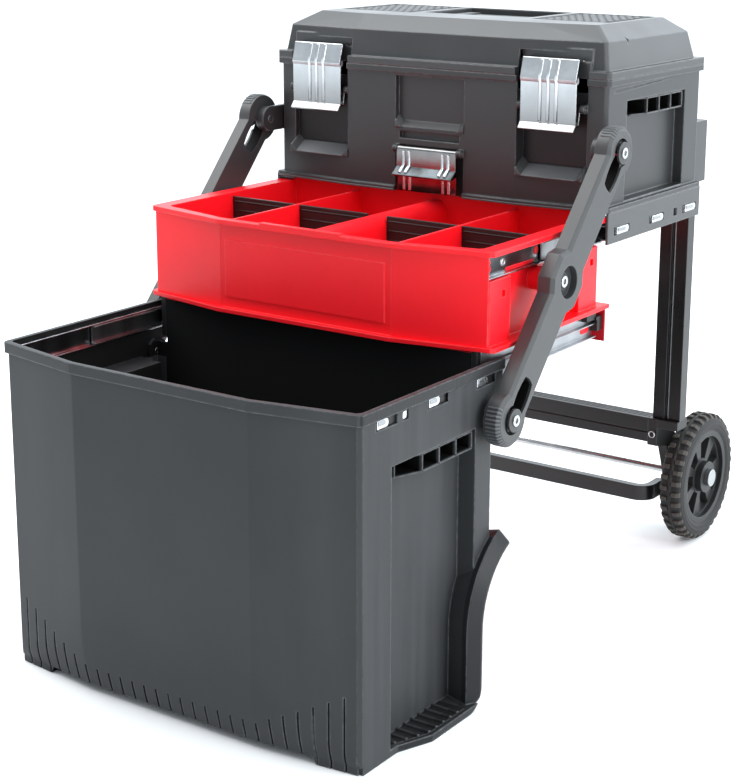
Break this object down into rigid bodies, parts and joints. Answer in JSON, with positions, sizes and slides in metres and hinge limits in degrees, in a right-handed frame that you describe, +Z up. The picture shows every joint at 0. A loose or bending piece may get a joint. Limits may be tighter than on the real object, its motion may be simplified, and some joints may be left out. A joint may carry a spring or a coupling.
{
  "type": "rolling toolbox",
  "caption": "Rolling toolbox with a deep bin, a red compartment tray and a latched top box that draw out in steps on slides and slotted arms, over a wheeled rear frame.",
  "frame": {"origin": "on the ground, at the middle of the part's box", "axes": "+Z up, -Y towards the bin's front, +X to the right of someone who faces the front"},
  "size_m": [0.5626, 0.9586, 0.734],
  "materials": {
    "charcoal_plastic": "fine matt grain",
    "dark_plastic": "fine matt grain",
    "red_plastic": "smooth, semi-gloss",
    "black_plastic": "satin",
    "hub_plastic": "satin",
    "tyre_rubber": "matt",
    "black_tube": "satin black paint",
    "zinc_rail": "zinc plated",
    "washer_grey": "satin",
    "bright_screw": "bright plated",
    "latch_steel": "bright plated sheet"
  },
  "bodies": {
    "top_box": {"box_body": "dark_plastic", "box_skirts": "dark_plastic", "box_arm_lugs": "dark_plastic", "box_hinge_knuckles": "dark_plastic", "left_box_rail": "zinc_rail", "right_box_rail": "zinc_rail", "box_arm_screws": "bright_screw", "box_arm_washers": "washer_grey", "lid_hinge_pins": "bright_screw", "centre_latch_pin": "bright_screw", "left_post_bracket": "dark_plastic", "right_post_bracket": "dark_plastic", "left_post": "black_tube", "right_post": "black_tube", "cross_bar": "dark_plastic", "kick_bar": "black_tube", "left_axle_bracket": "dark_plastic", "right_axle_bracket": "dark_plastic", "axle": "bright_screw", "axle_caps": "bright_screw", "frame_screws": "bright_screw"},
    "tray": {"tray_body": "red_plastic", "tray_partitions": "red_plastic", "left_tray_upper_rail": "zinc_rail", "right_tray_upper_rail": "zinc_rail", "left_tray_lower_rail": "zinc_rail", "right_tray_lower_rail": "zinc_rail", "rail_bumpers": "black_plastic", "tray_arm_screws": "bright_screw"},
    "bin": {"bin_body": "charcoal_plastic", "left_bin_rail": "zinc_rail", "right_bin_rail": "zinc_rail", "bin_arm_screws": "bright_screw", "bin_arm_washers": "washer_grey"},
    "left_wheel": {"left_tyre": "tyre_rubber", "left_hub": "hub_plastic"},
    "right_wheel": {"right_tyre": "tyre_rubber", "right_hub": "hub_plastic"},
    "pull_handle": {"pull_handle_rods": "bright_screw", "pull_handle_grip": "black_plastic"},
    "lid": {"lid_shell": "dark_plastic", "lid_hinge_knuckles": "dark_plastic"},
    "left_upper_middle_rail": {"left_upper_middle_rail": "zinc_rail"},
    "right_upper_middle_rail": {"right_upper_middle_rail": "zinc_rail"},
    "left_lower_middle_rail": {"left_lower_middle_rail": "zinc_rail"},
    "right_lower_middle_rail": {"right_lower_middle_rail": "zinc_rail"},
    "outer_left_divider": {"outer_left_divider": "black_plastic"},
    "inner_left_divider": {"inner_left_divider": "black_plastic"},
    "inner_right_divider": {"inner_right_divider": "black_plastic"},
    "outer_right_divider": {"outer_right_divider": "black_plastic"},
    "left_arm": {"left_arm": "charcoal_plastic"},
    "right_arm": {"right_arm": "charcoal_plastic"},
    "carry_handle": {"carry_handle": "black_plastic"},
    "left_organiser_cover": {"left_organiser_cover": "dark_plastic"},
    "right_organiser_cover": {"right_organiser_cover": "dark_plastic"},
    "left_latch_bail": {"left_latch_bail": "latch_steel"},
    "left_latch_plate": {"left_latch_plate": "latch_steel"},
    "right_latch_bail": {"right_latch_bail": "latch_steel"},
    "right_latch_plate": {"right_latch_plate": "latch_steel"},
    "centre_latch": {"centre_latch": "latch_steel"}
  },
  "joints": [
    {"name": "tray_slide", "type": "slide", "parent": "top_box", "child": "tray", "axis": [0, 1, 0], "range_m": [0, 0.235]},
    {"name": "bin_slide", "type": "slide", "parent": "tray", "child": "bin", "axis": [0, 1, 0], "range_m": [0, 0.235]},
    {"name": "left_upper_middle_slide", "type": "slide", "parent": "top_box", "child": "left_upper_middle_rail", "axis": [0, 1, 0], "range_m": [0, 0.1175]},
    {"name": "left_lower_middle_slide", "type": "slide", "parent": "tray", "child": "left_lower_middle_rail", "axis": [0, 1, 0], "range_m": [0, 0.1175]},
    {"name": "left_arm_swing", "type": "hinge", "parent": "tray", "child": "left_arm", "pos_m": [-0.266, -0.09175, 0.4615], "axis": [1, 0, 0], "range_deg": [0, 83.18]},
    {"name": "left_wheel_spin", "type": "hinge", "parent": "top_box", "child": "left_wheel", "pos_m": [-0.225, 0.38975, 0.0895], "axis": [1, 0, 0], "continuous": true},
    {"name": "left_cover_hinge", "type": "hinge", "parent": "lid", "child": "left_organiser_cover", "pos_m": [-0.145, 0.25375, 0.732], "axis": [1, 0, 0], "range_deg": [-100, 0]},
    {"name": "left_bail_swing", "type": "hinge", "parent": "top_box", "child": "left_latch_bail", "pos_m": [-0.172, 0.04175, 0.638], "axis": [-1, 0, 0], "range_deg": [0, 90]},
    {"name": "left_plate_swing", "type": "hinge", "parent": "left_latch_bail", "child": "left_latch_plate", "pos_m": [-0.172, 0.03885, 0.62], "axis": [-1, 0, 0], "range_deg": [-113, 0]},
    {"name": "right_upper_middle_slide", "type": "slide", "parent": "top_box", "child": "right_upper_middle_rail", "axis": [0, 1, 0], "range_m": [0, 0.1175]},
    {"name": "right_lower_middle_slide", "type": "slide", "parent": "tray", "child": "right_lower_middle_rail", "axis": [0, 1, 0], "range_m": [0, 0.1175]},
    {"name": "right_arm_swing", "type": "hinge", "parent": "tray", "child": "right_arm", "pos_m": [0.266, -0.09175, 0.4615], "axis": [1, 0, 0], "range_deg": [0, 83.18]},
    {"name": "right_wheel_spin", "type": "hinge", "parent": "top_box", "child": "right_wheel", "pos_m": [0.225, 0.38975, 0.0895], "axis": [1, 0, 0], "continuous": true},
    {"name": "right_cover_hinge", "type": "hinge", "parent": "lid", "child": "right_organiser_cover", "pos_m": [0.145, 0.25375, 0.732], "axis": [1, 0, 0], "range_deg": [-100, 0]},
    {"name": "right_bail_swing", "type": "hinge", "parent": "top_box", "child": "right_latch_bail", "pos_m": [0.172, 0.04175, 0.638], "axis": [-1, 0, 0], "range_deg": [0, 90]},
    {"name": "right_plate_swing", "type": "hinge", "parent": "right_latch_bail", "child": "right_latch_plate", "pos_m": [0.172, 0.03885, 0.62], "axis": [-1, 0, 0], "range_deg": [-113, 0]},
    {"name": "pull_handle_slide", "type": "slide", "parent": "top_box", "child": "pull_handle", "axis": [0, 0, -1], "range_m": [-0.33, 0]},
    {"name": "lid_hinge", "type": "hinge", "parent": "top_box", "child": "lid", "pos_m": [0, 0.31075, 0.674], "axis": [-1, 0, 0], "range_deg": [0, 100]},
    {"name": "carry_handle_swing", "type": "hinge", "parent": "lid", "child": "carry_handle", "pos_m": [0, 0.24375, 0.722], "axis": [1, 0, 0], "range_deg": [-90, 0]},
    {"name": "centre_latch_swing", "type": "hinge", "parent": "top_box", "child": "centre_latch", "pos_m": [0, 0.03475, 0.571], "axis": [-1, 0, 0], "range_deg": [0, 90]},
    {"name": "outer_left_divider_lift", "type": "slide", "parent": "tray", "child": "outer_left_divider", "axis": [0, 0, -1], "range_m": [-0.108, 0]},
    {"name": "inner_left_divider_lift", "type": "slide", "parent": "tray", "child": "inner_left_divider", "axis": [0, 0, -1], "range_m": [-0.108, 0]},
    {"name": "inner_right_divider_lift", "type": "slide", "parent": "tray", "child": "inner_right_divider", "axis": [0, 0, -1], "range_m": [-0.108, 0]},
    {"name": "outer_right_divider_lift", "type": "slide", "parent": "tray", "child": "outer_right_divider", "axis": [0, 0, -1], "range_m": [-0.108, 0]}
  ],
  "couplings": [
    {"joint": "bin_slide", "follows": "tray_slide", "ratio": 1},
    {"joint": "left_upper_middle_slide", "follows": "tray_slide", "ratio": 0.5},
    {"joint": "left_lower_middle_slide", "follows": "tray_slide", "ratio": 0.5},
    {"joint": "left_arm_swing", "follows": "tray_slide", "rad_per_m": 6.1742},
    {"joint": "left_plate_swing", "follows": "left_bail_swing", "ratio": -1.25},
    {"joint": "right_upper_middle_slide", "follows": "tray_slide", "ratio": 0.5},
    {"joint": "right_lower_middle_slide", "follows": "tray_slide", "ratio": 0.5},
    {"joint": "right_arm_swing", "follows": "tray_slide", "rad_per_m": 6.1742},
    {"joint": "right_plate_swing", "follows": "right_bail_swing", "ratio": -1.25}
  ]
}
